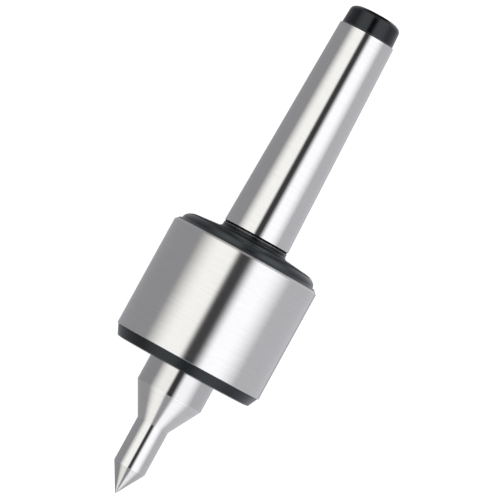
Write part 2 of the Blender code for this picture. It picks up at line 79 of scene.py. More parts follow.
# Spindle
POINT_HALF_ANGLE = math.radians(30)
DRILL_HALF_ANGLE = math.radians(59)
TIP_FLAT_RADIUS = 0.12 * MM
NOSE_RADIUS = 5.83 * MM
NOSE_END = 26.3 * MM
SHOULDER_RADIUS = 12.08 * MM
SHOULDER_START = 37.7 * MM
SEAT_RADIUS = 10.0 * MM
STEM_RADIUS = 8.5 * MM
STEM_END = 84.0 * MM
CLIP_GROOVE_RADIUS = 8.1 * MM
CLIP_PLAY = 0.2 * MM
JOURNAL_RADIUS = 5.8 * MM
CENTRE_HOLE_RADIUS = 2.0 * MM
CHAMFER = 0.4 * MM

# Front cap
CAP_FRONT, CAP_REAR, CAP_RADIUS = span("front_cap")
CAP_FLANGE_END = 50.8 * MM
CAP_FACE_RADIUS = 23.6 * MM
CAP_BEVEL = 0.27 * MM
CAP_BEVEL_RADIUS = 25.05 * MM
SEAL_POCKET_DEPTH = 2.02 * MM
SPANNER_HOLES = 4
SPANNER_HOLE_RADIUS = 2.0 * MM
SPANNER_HOLE_DEPTH = 3.5 * MM
SPANNER_PITCH_RADIUS = 21.3 * MM
THREAD_RADIUS = 25.0 * MM
THREAD_PITCH = 1.5 * MM
THREAD_DEPTH = 0.8 * MM
THREAD_STEPS = 12  # points along one turn of the thread's section

# Body
BODY_FACE = CAP_FLANGE_END + HAIRLINE
DRUM_RADIUS = span("body")[2]
DRUM_LEAD = 0.15 * MM
DRUM_END = 91.0 * MM
DRUM_CHAMFER_RADIUS = 25.75 * MM
DRUM_CHAMFER_END = 92.4 * MM
OXIDE_START = 91.7 * MM  # the black starts halfway down the chamfer
DOME_RADIUS = 25.05 * MM
DOME_START = 92.55 * MM
REAR_EDGE_RADIUS = 20.2 * MM
REAR_EDGE_STATION = 95.6 * MM
REAR_FACE_STATION = 96.35 * MM
DULL_START = 94.95 * MM  # the rear face and the neck are duller than the dome's round edge
NECK_RADIUS = 12.0 * MM
NECK_FILLET = 1.2 * MM
NECK_GROOVE = 0.3 * MM
NECK_GROOVE_RADIUS = 11.75 * MM
TAPER_START = 98.9 * MM
TAPER_START_RADIUS = 12.08 * MM
TAPER_PER_LENGTH = 0.0502  # change of diameter, Morse taper No. 3
TAPER_END = 176.2 * MM
TAPER_END_RADIUS = TAPER_START_RADIUS - (TAPER_END - TAPER_START) * TAPER_PER_LENGTH / 2
COLLAR_START = 176.6 * MM
COLLAR_RADIUS = 9.6 * MM
COLLAR_END_RADIUS = 9.35 * MM
TAIL_ROUND = (3.9 * MM, 2.4 * MM)
TAIL_HOLE_RADIUS = 3.2 * MM
TAIL_PILOT_RADIUS = 1.25 * MM
TAIL_PILOT_DEPTH = 6.5 * MM
BLIND_BORE_RADIUS = 6.6 * MM
BLIND_BORE_END = 106.0 * MM

# Front bearing
RACE_CHAMFER = 0.8 * MM
RACE_LAND_INNER = 14.4 * MM
RACE_LAND_OUTER = 19.2 * MM
SHIELD_SEAT_RADIUS = 20.3 * MM
SHIELD_SEAT_DEPTH = 1.1 * MM
SHIELD_STEP = 0.35 * MM
FRONT_BALL_RADIUS = 3.97 * MM
FRONT_PITCH_RADIUS = 16.75 * MM
FRONT_CAGE_INNER_RADIUS = 15.4 * MM
ROLL_GAP = 0.2 * MM

# Seal
SEAL_SKIN = 1.3 * MM
SEAL_SPRING_RADIUS = 0.55 * MM

# Thrust bearing
THRUST_BALL_RADIUS = 2.5 * MM
THRUST_PITCH_RADIUS = 13.75 * MM
THRUST_CAGE_INNER_RADIUS = 10.2 * MM
HOUSING_WASHER_BORE_RADIUS = 10.5 * MM

# Retaining ring
CLIP_INNER_RADIUS = 8.3 * MM
CLIP_OPENING = 4.4 * MM
CLIP_WAIST = (1.1 * MM, 1.6 * MM)  # width next to the lugs and opposite them
CLIP_HOLE_RADIUS = 0.5 * MM
LUG_ANGLE = 0.32

# Needle bearing
CUP_WALL = 0.8 * MM
CUP_LIP_RADIUS = 6.6 * MM
NEEDLE_RADIUS = 1.0 * MM
NEEDLE_LENGTH = 7.8 * MM
NEEDLE_PITCH_RADIUS = 7.0 * MM
NEEDLE_CAGE_INNER_RADIUS = 6.5 * MM

# Picture
SPIN_AXIS_SLANT = math.radians(61.20)  # in the picture, from the horizontal
CAMERA_DISTANCE = 1460 * MM
CAMERA_X = 26.15 * MM
AIM = Vector((-1.75 * MM, 0.33 * MM, 0))
SENSOR = 36.0
LENS = 311.5
FLOOR_SIDE = 6.0
FLOOR_GAP = 0.3 * MM
FLOOR_GLOW = 0.83  # to the camera only
FLOOR_PAPER = ((0.80, 0.80, 0.80, 1.0), (0.84, 0.84, 0.84, 1.0))
FLOOR_SEEN = (0.30, 0.30, 0.30, 1.0)
FLOOR_FIBRE = 2.5 * MM
BACKDROP = (1.0, 1.0, 1.0, 1.0)  # to the camera only

# Studio: two long softboxes along the spin axis, one on each side of the camera, in a pale room. A
# box spans degrees round the axis from straight up towards +Y: (dark, full, full, dark). A slope
# tells how far towards the nose a light lies: it is the slope, along the axis, of a surface that
# would reflect the light straight up. It is negative for lights past the tail.
LEFT_BOX = (-95, -38, -16, -5)
LEFT_COLOUR = (1.60, 1.60, 1.57, 1.0)
RIGHT_BOX = (4, 24, 42, 112)
RIGHT_COLOUR = (1.75, 1.75, 1.81, 1.0)
CARD = (40, 80, 150, 178)  # a white card beside the right box
CARD_COLOUR = (0.76, 0.76, 0.80, 1.0)
BOX_ENDS = (0.25, 1.90)  # slopes over which the boxes fade out, the same at both ends
ROOM_COLOUR = (0.45, 0.45, 0.475, 1.0)
CAMERA_SHADE = (6, 24)  # degrees: the camera keeps the room's light off straight above
SHADE_LIGHT = 0.15
SHADE_ENDS = (0.20, 0.50)  # slopes over which that shade fades out, the same at both ends
OPEN_END = (-0.85, -1.60)  # slopes over which the room opens behind the tail
OPEN_END_LIGHT = 0.10
OPEN_END_SIDES = (36, 100)  # degrees: the room closes again towards the sides

# Finishes. A zone of black oxide is (station, roughness, shine)
STEEL = (0.56, 0.555, 0.55)
BARE = (0.70, 0.70, 0.70, 1.0)
RUBBED_OXIDE = (0.20, 0.20, 0.20, 1.0)
CAP_ZONES = ((0, 0.24, 0.50),)
COLLAR_ZONES = ((0, 0.15, 0.50),)
DOME_ZONES = ((0, 0.20, 0.50), (94.8 * MM, 0.50, 0.50))
NECK_RUB = 0.34 * MM  # how far the oxide is worn off beside the neck's edge
NECK_ZONES = (
    (0, 0.45, 0.32),  # rear face
    (REAR_FACE_STATION, 0.35, 0.95),  # fillet
    (96.9 * MM, 0.22, 0.50),  # neck
    # The groove's shine is nearly nothing: painted shade that keeps the groove dark.
    (98.35 * MM, 0.50, 0.05),  # groove
)
BODY_ZONES = ((0, 1.0, 0.16), (TAPER_START - MM, 1.0, 0.12))  # ground steel: station, tone, roughness
OXIDE_SHEEN = (0.88, 0.94, 1.0, 1.0)
DOME_TINT = (0.0070, 0.0092, 0.0102)
COLLAR_TINT = (0.0012, 0.0018, 0.0024)
CAP_TINT = (0.0026, 0.0038, 0.0045)

SLOT_OF = {part["node"]: part["material_slot"] for part in frame["record"]["subparts"]}
BODY_OF = {
    node: body for body, nodes in frame["record"]["behaviour"]["bodies"].items() for node in nodes
}


# ---------------------------------------------------------------- materials


class Tree:
    """Writes a node tree in short calls."""

    def __init__(self, tree):
        self.nodes, self.links = tree.nodes, tree.links
        self.nodes.clear()

    def add(self, kind, inputs=None, **settings):
        node = self.nodes.new("ShaderNode" + kind)
        for name, value in settings.items():
            setattr(node, name, value)
        for key, value in (inputs or {}).items():
            if isinstance(value, bpy.types.NodeSocket):
                self.links.new(value, node.inputs[key])
            else:
                node.inputs[key].default_value = value
        return node

    def math(self, operation, *values):
        return self.add("Math", dict(enumerate(values)), operation=operation).outputs[0]

    def remap(self, value, low, high, to_low=0.0, to_high=1.0, kind="LINEAR"):
        inputs = {"Value": value, "From Min": low, "From Max": high, "To Min": to_low, "To Max": to_high}
        return self.add("MapRange", inputs, interpolation_type=kind).outputs[0]

    def noise(self, vector, scale=1.0, detail=2.0, roughness=0.5):
        inputs = {"Vector": vector, "Scale": scale, "Detail": detail, "Roughness": roughness}
        return self.add("TexNoise", inputs).outputs[0]

    def blend(self, factor, first, second):
        node = self.add("Mix", {"Factor": factor, 6: first, 7: second}, data_type="RGBA")
        return node.outputs[2]

    def bump(self, height, strength, distance):
        inputs = {"Height": height, "Strength": strength, "Distance": distance}
        return self.add("Bump", inputs).outputs[0]


class Place:
    """Where a shaded point of a turned piece lies: along the spin axis, and out from it."""

    def __init__(self, tree):
        self.tree = tree
        self.position = tree.add("TexCoord").outputs["Object"]
        self.x, self.y, self.z = tree.add("SeparateXYZ", {0: self.position}).outputs
        squares = tree.math("MULTIPLY_ADD", self.z, self.z, tree.math("MULTIPLY", self.y, self.y))
        self.radius = tree.math("SQRT", squares)

    def marks(self, pitch, length, detail=3.0, roughness=0.6):
        """Noise drawn out round the axis, as a grinding wheel or a lathe tool leaves it."""
        tree = self.tree
        across = tree.math("MULTIPLY_ADD", self.radius, 0.73, self.x)
        inputs = {
            0: tree.math("MULTIPLY", across, 1 / pitch),
            1: tree.math("MULTIPLY", self.y, 1 / length),
            2: tree.math("MULTIPLY", self.z, 1 / length),
        }
        vector = tree.add("CombineXYZ", inputs).outputs[0]
        return tree.noise(vector, 1.0, detail, roughness)

    def clouds(self, size, detail=3.0):
        return self.tree.noise(self.position, 1 / size, detail, 0.55)

    def by_zone(self, zones, column):
        """The value in a column of the zone that a point lies in. A zone starts at its station."""
        value = zones[0][column]
        for before, zone in zip(zones, zones[1:]):
            behind = self.tree.math("LESS_THAN", self.x, TIP_X - zone[0])
            value = self.tree.math("MULTIPLY_ADD", behind, zone[column] - before[column], value)
        return value

    def edge_wear(self, edges, width):
        """1 on the given edges, fading out unevenly over the width. An edge is (radius, station)."""
        tree = self.tree
        nearest = 1.0
        for radius, station in edges:
            along = tree.math("SUBTRACT", self.x, TIP_X - station)
            out = tree.math("SUBTRACT", self.radius, radius)
            squares = tree.math("MULTIPLY_ADD", along, along, tree.math("MULTIPLY", out, out))
            nearest = tree.math("MINIMUM", tree.math("SQRT", squares), nearest)
        ragged = tree.remap(self.clouds(1.1 * MM, 5.0), 0.35, 0.7, 0.35, 1.0)
        limit = tree.math("MULTIPLY", ragged, width)
        return tree.math("SUBTRACT", 1.0, tree.remap(tree.math("DIVIDE", nearest, limit), 0.6, 1.0))


def shade_of(colour, factor):
    return tuple(min(1.0, factor * channel) for channel in colour[:3]) + (1.0,)


def new_material(name):
    material = bpy.data.materials.new(name)
    material.use_nodes = True
    return material, Tree(material.node_tree)


def surface(tree, **inputs):
    """The Principled shader of a material, fed by the named inputs."""
    named = {name.replace("_", " ").title().replace("Ior", "IOR"): value for name, value in inputs.items()}
    shader = tree.add("BsdfPrincipled", named)
    tree.add("OutputMaterial", {"Surface": shader.outputs[0]})


def ground_steel(name, edges, zones, spread):
    """Cylindrically ground steel, satin, with a few deeper scratches. Each zone is (station, tone,
    roughness) and holds behind its station. Where the tone is not 1 it paints light and shade on the
    base colour: darker or brighter bands as the light falls."""
    material, tree = new_material(name)
    place = Place(tree)
    fine = place.marks(0.08 * MM, 11 * MM)
    coarse = place.marks(0.5 * MM, 9 * MM, 4.0)
    cloud = place.clouds(14 * MM)
    scratch = tree.remap(place.marks(0.05 * MM, 3.5 * MM, 1.0), 0.75, 0.80)
    streaks = tree.math("MULTIPLY_ADD", coarse, 0.45, tree.math("MULTIPLY", fine, 0.55))
    worn = place.edge_wear(edges, 0.3 * MM)
    painted_light_tone, roughness = place.by_zone(zones, 1), place.by_zone(zones, 2)

    base = tree.blend(tree.remap(streaks, 0.35, 0.65), shade_of(STEEL, 0.955), shade_of(STEEL, 1.04))
    base = tree.blend(tree.math("MULTIPLY", worn, 0.3), base, BARE)
    # The zone's tone scales the base colour: painted light and shade wherever it is not 1.
    base = tree.add("VectorMath", {0: base, "Scale": painted_light_tone}, operation="SCALE").outputs[0]
    rough = tree.math("ADD", roughness, tree.remap(streaks, 0.25, 0.75, -0.012, 0.012))
    rough = tree.math("MULTIPLY_ADD", tree.math("SUBTRACT", cloud, 0.5), 0.04, rough)
    height = tree.math("MULTIPLY_ADD", scratch, -0.8, streaks)
    surface(
        tree,
        base_color=base,
        metallic=1.0,
        roughness=rough,
        anisotropic=spread,
        anisotropic_rotation=0.25,
        tangent=tree.add("Tangent", direction_type="RADIAL", axis="X").outputs[0],
        normal=tree.bump(height, 0.14, 0.004 * MM),
    )
    return material


def black_oxide(name, edges, tint, zones, ior=1.5, turned=0.25, bare=0.35, rub=0.22 * MM):
    """Black oxide on turned steel: a thin satin skin, rubbed through to bare steel on its edges. Each
    zone is (station, roughness, shine) and holds behind its station."""
    material, tree = new_material(name)
    place = Place(tree)
    roughness = place.by_zone(zones, 1)
    fine = place.marks(0.16 * MM, 12 * MM)
    coarse = place.marks(0.8 * MM, 22 * MM, 2.0)
    cloud = place.clouds(7 * MM, 4.0)
    streaks = tree.math("MULTIPLY_ADD", coarse, 0.45, tree.math("MULTIPLY", fine, 0.55))
    skin = tree.blend(tree.remap(cloud, 0.3, 0.7), shade_of(tint, 0.7), shade_of(tint, 1.2))
    skin = tree.blend(tree.remap(streaks, 0.5, 0.8, 0.0, 0.5), skin, shade_of(tint, 1.8))
    rubbed = place.edge_wear(edges, rub)
    base = tree.blend(tree.math("MULTIPLY", rubbed, bare), skin, RUBBED_OXIDE)
    rough = tree.math("ADD", roughness, tree.remap(streaks, 0.25, 0.75, -0.04, 0.05))
    rough = tree.math("MULTIPLY_ADD", tree.math("SUBTRACT", cloud, 0.5), 0.10, rough)
    surface(
        tree,
        base_color=base,
        metallic=tree.math("MULTIPLY", rubbed, bare + 0.15),
        roughness=rough,
        ior=ior,
        specular_ior_level=place.by_zone(zones, 2),
        specular_tint=OXIDE_SHEEN,
        normal=tree.bump(streaks, turned, 0.006 * MM),
    )
    return material


def bearing_steel(name, colour, roughness, pitch):
    """Hardened steel, turned or ground round the axis and honed."""
    material, tree = new_material(name)
    place = Place(tree)
    marks = place.marks(pitch, 6 * MM)
    cloud = place.clouds(5 * MM)
    surface(
        tree,
        base_color=tree.blend(
            tree.remap(marks, 0.3, 0.7), shade_of(colour, 0.92), shade_of(colour, 1.03)
        ),
        metallic=1.0,
        roughness=tree.remap(cloud, 0.3, 0.7, roughness, roughness * 1.6),
        normal=tree.bump(marks, 0.15, 0.003 * MM),
    )
    return material


def lapped_steel(name, colour, roughness):
    """Lapped balls and needles: a mirror with hair scratches in every direction."""
    material, tree = new_material(name)
    place = Place(tree)
    cloud = place.clouds(2 * MM, 4.0)
    hair = tree.remap(place.clouds(0.12 * MM, 6.0), 0.62, 0.68)
    polish = tree.remap(cloud, 0.3, 0.7, roughness, 2 * roughness)
    surface(
        tree,
        base_color=tree.blend(tree.remap(cloud, 0.3, 0.7), shade_of(colour, 0.95), shade_of(colour, 1.03)),
        metallic=1.0,
        roughness=tree.math("MULTIPLY_ADD", hair, 0.12, polish),
        normal=tree.bump(hair, 0.08, 0.002 * MM),
    )
    return material


def sheet_metal(name, colour, roughness):
    """Pressed or stamped sheet: an even satin skin with a slight orange peel."""
    material, tree = new_material(name)
    place = Place(tree)
    peel = place.clouds(0.25 * MM, 2.0)
    cloud = place.clouds(4 * MM, 4.0)
    surface(
        tree,
        base_color=tree.blend(tree.remap(cloud, 0.3, 0.7), shade_of(colour, 0.86), shade_of(colour, 1.0)),
        metallic=1.0,
        roughness=tree.remap(cloud, 0.3, 0.7, roughness - 0.05, roughness + 0.08),
        normal=tree.bump(peel, 0.2, 0.01 * MM),
    )
    return material


def moulded(name, colour, roughness):
    """Moulded rubber or plastic: a matt skin with a fine spark-eroded texture."""
    material, tree = new_material(name)
    place = Place(tree)
    skin = place.clouds(0.12 * MM, 3.0)
    cloud = place.clouds(3 * MM, 3.0)
    surface(
        tree,
        base_color=tree.blend(tree.remap(cloud, 0.3, 0.7), shade_of(colour, 0.8), shade_of(colour, 1.1)),
        metallic=0.0,
        roughness=tree.remap(skin, 0.3, 0.7, roughness - 0.07, roughness + 0.07),
        normal=tree.bump(skin, 0.25, 0.02 * MM),
    )
    return material


def inner_finishes():
    """The materials of the pieces inside, by the record's material slot."""
    return {
        "seal_rubber": moulded("seal_rubber", (0.018, 0.018, 0.020), 0.55),
        "race_steel": bearing_steel("race_steel", (0.62, 0.62, 0.63), 0.10, 0.06 * MM),
        "ball_steel": lapped_steel("ball_steel", (0.70, 0.70, 0.71), 0.04),
        "shield_steel": sheet_metal("shield_steel", (0.52, 0.52, 0.53), 0.30),
        "front_cage_polyamide": moulded("front_cage_polyamide", (0.55, 0.46, 0.28), 0.42),
        "spacer_steel": bearing_steel("spacer_steel", (0.42, 0.42, 0.43), 0.26, 0.12 * MM),
        "thrust_cage_brass": sheet_metal("thrust_cage_brass", (0.70, 0.50, 0.20), 0.28),
        "clip_spring_steel": sheet_metal("clip_spring_steel", (0.07, 0.07, 0.08), 0.36),
        "needle_cup_steel": sheet_metal("needle_cup_steel", (0.52, 0.52, 0.53), 0.24),
        "needle_cage_steel": sheet_metal("needle_cage_steel", (0.38, 0.38, 0.39), 0.33),
    }


# ---------------------------------------------------------------- outlines and meshes


def arc(centre, radii, start, end, steps=12):
    """Points along an ellipse, by angles in degrees: 0 points outward, 90 points to the tail."""
    points = []
    for step in range(steps + 1):
        angle = math.radians(start + (end - start) * step / steps)
        points.append(
            (centre[0] + radii[0] * math.cos(angle), centre[1] + radii[1] * math.sin(angle))
        )
    return points


def rounded_corner(before, corner, after, radius):
    """Points of the arc that rounds one corner of an outline."""
    here = Vector(corner[:2])
    to_before, to_after = Vector(before[:2]) - here, Vector(after[:2]) - here
    half = to_before.angle(to_after) / 2
    setback = min(radius / math.tan(half), 0.45 * to_before.length, 0.45 * to_after.length)
    first, last = to_before.normalized(), to_after.normalized()
    middle = here + (first + last).normalized() * setback / math.cos(half)
    start, end = here + first * setback - middle, here + last * setback - middle
    points = []
    for step in range(ROUND_STEPS + 1):
        points.append(tuple(middle + start.slerp(end, step / ROUND_STEPS) * start.length))
    return points


def soften(outline, closed):
    """The outline with every corner rounded that names a rounding as its third value."""
    points = []
    for index, corner in enumerate(outline):
        at_end = not closed and index in (0, len(outline) - 1)
        if len(corner) < 3 or at_end:
            points.append(tuple(corner[:2]))
            continue
        before = outline[index - 1]
        after = outline[(index + 1) % len(outline)]
        points += rounded_corner(before, corner, after, corner[2])
    return points


def thread_depth(station, angle):
    """How deep the thread of the front cap is cut at a place on its cylinder."""
    start, end = BODY_FACE + 0.4 * MM, CAP_REAR - 0.3 * MM
    if not start < station < end:
        return 0.0
    wave = abs(2 * ((station / THREAD_PITCH - angle / (2 * math.pi)) % 1.0) - 1)
    run_out = min(1.0, 2 * (station - start) / THREAD_PITCH, 2 * (end - station) / THREAD_PITCH)
    return THREAD_DEPTH * run_out * min(1.0, max(0.0, 1.4 * wave - 0.2))


def threaded(radius, start, end):
    """Points along a threaded stretch of an outline."""
    steps = math.ceil(abs(end - start) * THREAD_STEPS / THREAD_PITCH)
    return [(radius, start + (end - start) * step / steps) for step in range(1, steps)]


def bridge(bm, first, second):
    """Faces between two rings of points. A ring of one point closes the shape."""
    count = max(len(first), len(second))
    faces = []
    for index in range(count):
        after = (index + 1) % count
        corners = (
            first[index % len(first)],
            second[index % len(second)],
            second[after % len(second)],
            first[after % len(first)],
        )
        faces.append(bm.faces.new(list(dict.fromkeys(corners))))
    return faces


def lathe(name, outline, segments=RING_SEGMENTS, finish_of=None, thread_radius=None):
    """A turned mesh. An outline whose ends lie on the axis closes there, any other is a ring."""
    closed = outline[0][0] > 0
    points = soften(outline, closed)
    bm = bmesh.new()
    rings = []
    for radius, station in points:
        ring = []
        for index in range(segments if radius > 0 else 1):
            angle = 2 * math.pi * index / segments
            out = radius - thread_depth(station, angle) if radius == thread_radius else radius
            ring.append(bm.verts.new((TIP_X - station, out * math.sin(angle), out * math.cos(angle))))
        rings.append(ring)
    pairs = list(zip(range(len(points) - 1), range(1, len(points))))
    if closed:
        pairs.append((len(points) - 1, 0))
    for first, second in pairs:
        middle = (Vector(points[first]) + Vector(points[second])) / 2
        finish = finish_of(*middle) if finish_of else 0
        for face in bridge(bm, rings[first], rings[second]):
            face.material_index = finish
    return mesh_of(bm, name)


def spin(bm, profile, segments, place):
    """Adds the closed solid that (radius, x) points make round the X axis of a place."""
    rings = []
    for radius, x in profile:
        ring = []
        for index in range(segments if radius > 0 else 1):
            angle = 2 * math.pi * index / segments
            point = Vector((x, radius * math.sin(angle), radius * math.cos(angle)))
            ring.append(bm.verts.new(place @ point))
        rings.append(ring)
    for first, second in zip(rings, rings[1:]):
        bridge(bm, first, second)


def open_ring(name, section_at, start, end, steps):
    """A ring that is open between two angles, with a section that changes along it."""
    bm = bmesh.new()
    rings = []
    for step in range(steps + 1):
        angle = start + (end - start) * step / steps
        ring = []
        for radius, station in soften(section_at(angle), closed=True):
            place = (TIP_X - station, radius * math.sin(angle), radius * math.cos(angle))
            ring.append(bm.verts.new(place))
        rings.append(ring)
    for first, second in zip(rings, rings[1:]):
        bridge(bm, first, second)
    bm.faces.new(rings[0])
    bm.faces.new(rings[-1])
    return mesh_of(bm, name)


def mesh_of(bm, name):
    bmesh.ops.recalc_face_normals(bm, faces=bm.faces)
    mesh = bpy.data.meshes.new(name)
    bm.to_mesh(mesh)
    bm.free()
    mesh.shade_smooth()
    return mesh


def piece(node, mesh, materials):
    """Shows a mesh in place of a CAD node, on the same body, with the given materials."""
    obj = bpy.data.objects.new(node + "_fine", mesh)
    bpy.context.scene.collection.objects.link(obj)
    for material in materials:
        mesh.materials.append(material)
    normals = obj.modifiers.new("normals", "WEIGHTED_NORMAL")
    normals.keep_sharp = True
    normals.weight = 100
    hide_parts(node)
    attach(obj, BODY_OF[node])
    return obj


def cut(target, bm):
    """Cuts a shape out of a piece, for good."""
    cutter = bpy.data.objects.new("cutter", mesh_of(bm, "cutter"))
    bpy.context.scene.collection.objects.link(cutter)
    modifier = target.modifiers.new("cut", "BOOLEAN")
    modifier.operation = "DIFFERENCE"
    modifier.solver = "EXACT"
    modifier.object = cutter
    target.modifiers.move(len(target.modifiers) - 1, 0)
    normals = target.modifiers["normals"]
    normals.show_viewport = False
    graph = bpy.context.evaluated_depsgraph_get()
    graph.update()
    mesh = bpy.data.meshes.new_from_object(target.evaluated_get(graph))
    target.modifiers.remove(modifier)
    target.data = mesh
    normals.show_viewport = True
    bpy.data.objects.remove(cutter)
    mesh.shade_smooth()
    mesh.set_sharp_from_angle(angle=math.radians(35))


def around(count, radius, station, tilt=None):
    """Matrices for count places round the spin axis, the first at the bottom, with local X forward."""
    places = []
    for index in range(count):
        turn = Matrix.Rotation(math.pi + 2 * math.pi * index / count, 4, "X")
        place = turn @ Matrix.Translation((TIP_X - station, 0, radius))
        places.append(place @ tilt if tilt else place)
    return places


def middle_of(node):
    low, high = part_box(node)
    return (low + high) / 2


def rolling_nodes(prefix):
    """The CAD nodes of the balls or needles whose names start with the prefix."""
    return sorted(node for node in SLOT_OF if node.startswith(prefix) and SLOT_OF[node] == "ball_steel")


# ---------------------------------------------------------------- outer pieces


def bore_outline():
    """The stepped bore of the body, from its blind end to the front face."""
    bearing_front = CAP_REAR + 2 * GAP
    _, bearing_end, bearing_radius = span("front_bearing_outer_ring")
    _, thrust_end, thrust_radius = span("thrust_housing_washer")
    _, cup_end, cup_radius = span("needle_cup")
    bearing_bore = bearing_radius + GAP
    thrust_bore = thrust_radius + GAP
    cup_bore = cup_radius + GAP
    thread_bore = THREAD_RADIUS + GAP
    return [
        (0, BLIND_BORE_END + BLIND_BORE_RADIUS / math.tan(DRILL_HALF_ANGLE)),
        (BLIND_BORE_RADIUS, BLIND_BORE_END, FINE_EDGE),
        (BLIND_BORE_RADIUS, cup_end + GAP, FINE_EDGE),
        (cup_bore, cup_end + GAP, FINE_EDGE),
        (cup_bore, thrust_end + GAP, EDGE),
        (thrust_bore, thrust_end + GAP, FINE_EDGE),
        (thrust_bore, bearing_end + GAP, EDGE),
        (bearing_bore, bearing_end + GAP, FINE_EDGE),
        (bearing_bore, bearing_front, EDGE),
        (thread_bore, bearing_front, FINE_EDGE),
        *threaded(thread_bore, bearing_front, BODY_FACE),
        (thread_bore, BODY_FACE, FINE_EDGE),
    ]


def drum_outline():
    dome = (DOME_RADIUS - REAR_EDGE_RADIUS, REAR_EDGE_STATION - DOME_START)
    fillet = (NECK_RADIUS + NECK_FILLET, REAR_FACE_STATION + NECK_FILLET)
    chamfer_slope = (DRUM_RADIUS - DRUM_CHAMFER_RADIUS) / (DRUM_CHAMFER_END - DRUM_END)
    oxide_radius = DRUM_RADIUS - (OXIDE_START - DRUM_END) * chamfer_slope
    return [
        (DRUM_RADIUS - DRUM_LEAD, BODY_FACE, CRISP_EDGE),
        (DRUM_RADIUS, BODY_FACE + DRUM_LEAD, CRISP_EDGE),
        (DRUM_RADIUS, DRUM_END, FINE_EDGE),
        (oxide_radius, OXIDE_START),
        (DRUM_CHAMFER_RADIUS, DRUM_CHAMFER_END, CRISP_EDGE),
        *arc((REAR_EDGE_RADIUS, DOME_START), dome, 0, 84, 20),
        *arc(fillet, (NECK_FILLET, NECK_FILLET), 264, 180),
    ]


def shank_outline():
    pilot_start = LENGTH - (TAIL_HOLE_RADIUS - TAIL_PILOT_RADIUS) / math.tan(POINT_HALF_ANGLE)
    pilot_end = LENGTH - TAIL_PILOT_DEPTH
    tail_centre = (COLLAR_END_RADIUS - TAIL_ROUND[0], LENGTH - TAIL_ROUND[1])
    return [
        (NECK_RADIUS, TAPER_START - 2 * NECK_GROOVE, FINE_EDGE),
        (NECK_GROOVE_RADIUS, TAPER_START - 1.6 * NECK_GROOVE, CRISP_EDGE),
        (NECK_GROOVE_RADIUS, TAPER_START - 0.4 * NECK_GROOVE, CRISP_EDGE),
        (TAPER_START_RADIUS, TAPER_START, CRISP_EDGE),
        (TAPER_END_RADIUS, TAPER_END, CRISP_EDGE),
        (COLLAR_RADIUS, COLLAR_START, FINE_EDGE),
        *arc(tail_centre, TAIL_ROUND, 0, 90, 16),
        (TAIL_HOLE_RADIUS, LENGTH, EDGE),
        (TAIL_PILOT_RADIUS, pilot_start, FINE_EDGE),
        (TAIL_PILOT_RADIUS, pilot_end),
        (0, pilot_end - TAIL_PILOT_RADIUS / math.tan(DRILL_HALF_ANGLE)),
    ]


def build_body():
    """Drum and taper shank in one piece: ground bright, with black oxide left on dome and collar."""

    def finish_of(radius, station):
        if radius < NECK_GROOVE_RADIUS - CRISP_EDGE and station < TAPER_END:
            return 0
        if station > TAPER_END and radius > TAIL_HOLE_RADIUS:
            return 2
        if DULL_START < station < TAPER_START - CRISP_EDGE:
            return 3
        return 1 if OXIDE_START < station < DULL_START else 0

    steel_edges = (
        (DRUM_RADIUS, BODY_FACE),
        (DRUM_RADIUS, DRUM_END),
        (TAPER_END_RADIUS, TAPER_END),
    )
    neck_edges = ((NECK_RADIUS, TAPER_START - 2 * NECK_GROOVE - 0.24 * MM),)
    collar_edges = ((COLLAR_RADIUS, COLLAR_START),)
    materials = [
        ground_steel("body_ground_steel", steel_edges, BODY_ZONES, 0.6),
        black_oxide("dome_black_oxide", neck_edges, DOME_TINT, DOME_ZONES),
        black_oxide("collar_black_oxide", collar_edges, COLLAR_TINT, COLLAR_ZONES, 1.43),
        black_oxide("neck_black_oxide", neck_edges, CAP_TINT, NECK_ZONES, 1.32, bare=0.5, rub=NECK_RUB),
    ]
    outline = bore_outline() + drum_outline() + shank_outline()
    mesh = lathe("body", outline, CASE_SEGMENTS, finish_of, THREAD_RADIUS + GAP)
    piece("body", mesh, materials)


def build_spindle():
    _, shoulder_end, _ = span("front_cap")
    clip_start, clip_end, _ = span("retaining_ring")
    _, spindle_end, _ = span("spindle")
    seat_end = clip_start - GAP - CLIP_PLAY
    point_length = (NOSE_RADIUS - TIP_FLAT_RADIUS) / math.tan(POINT_HALF_ANGLE)
    outline = [
        (0, 0),
        (TIP_FLAT_RADIUS, 0, CRISP_EDGE),
        (NOSE_RADIUS, point_length, CRISP_EDGE),
        (NOSE_RADIUS, NOSE_END, CRISP_EDGE),
        (SHOULDER_RADIUS, SHOULDER_START, CRISP_EDGE),
        (SHOULDER_RADIUS, shoulder_end, EDGE),
        (SEAT_RADIUS, shoulder_end, FINE_EDGE),
        (SEAT_RADIUS, seat_end, EDGE),
        (STEM_RADIUS, seat_end, FINE_EDGE),
        (STEM_RADIUS, clip_start - CLIP_PLAY, FINE_EDGE),
        (CLIP_GROOVE_RADIUS, clip_start - CLIP_PLAY),
        (CLIP_GROOVE_RADIUS, clip_end + CLIP_PLAY),
        (STEM_RADIUS, clip_end + CLIP_PLAY, FINE_EDGE),
        (STEM_RADIUS, STEM_END, EDGE),
        (JOURNAL_RADIUS, STEM_END, FINE_EDGE),
        (JOURNAL_RADIUS, spindle_end - CHAMFER, FINE_EDGE),
        (JOURNAL_RADIUS - CHAMFER, spindle_end, FINE_EDGE),
        (CENTRE_HOLE_RADIUS, spindle_end, FINE_EDGE),
        (0, spindle_end - CENTRE_HOLE_RADIUS / math.tan(POINT_HALF_ANGLE)),
    ]
    edges = ((NOSE_RADIUS, point_length), (SHOULDER_RADIUS, SHOULDER_START))
    # The tones paint light and shade: the point and the shoulder darker, the nose brighter, as the light
    # falls on them.
    spindle_zones_with_painted_light = (
        (0, 0.92, 0.12),
        (point_length, 1.0, 0.10),
        (NOSE_END, 1.06, 0.16),
        (SHOULDER_START, 0.92, 0.085),
    )
    steel = ground_steel("spindle_ground_steel", edges, spindle_zones_with_painted_light, 0.3)
    piece("spindle", lathe("spindle", outline, CASE_SEGMENTS), [steel])


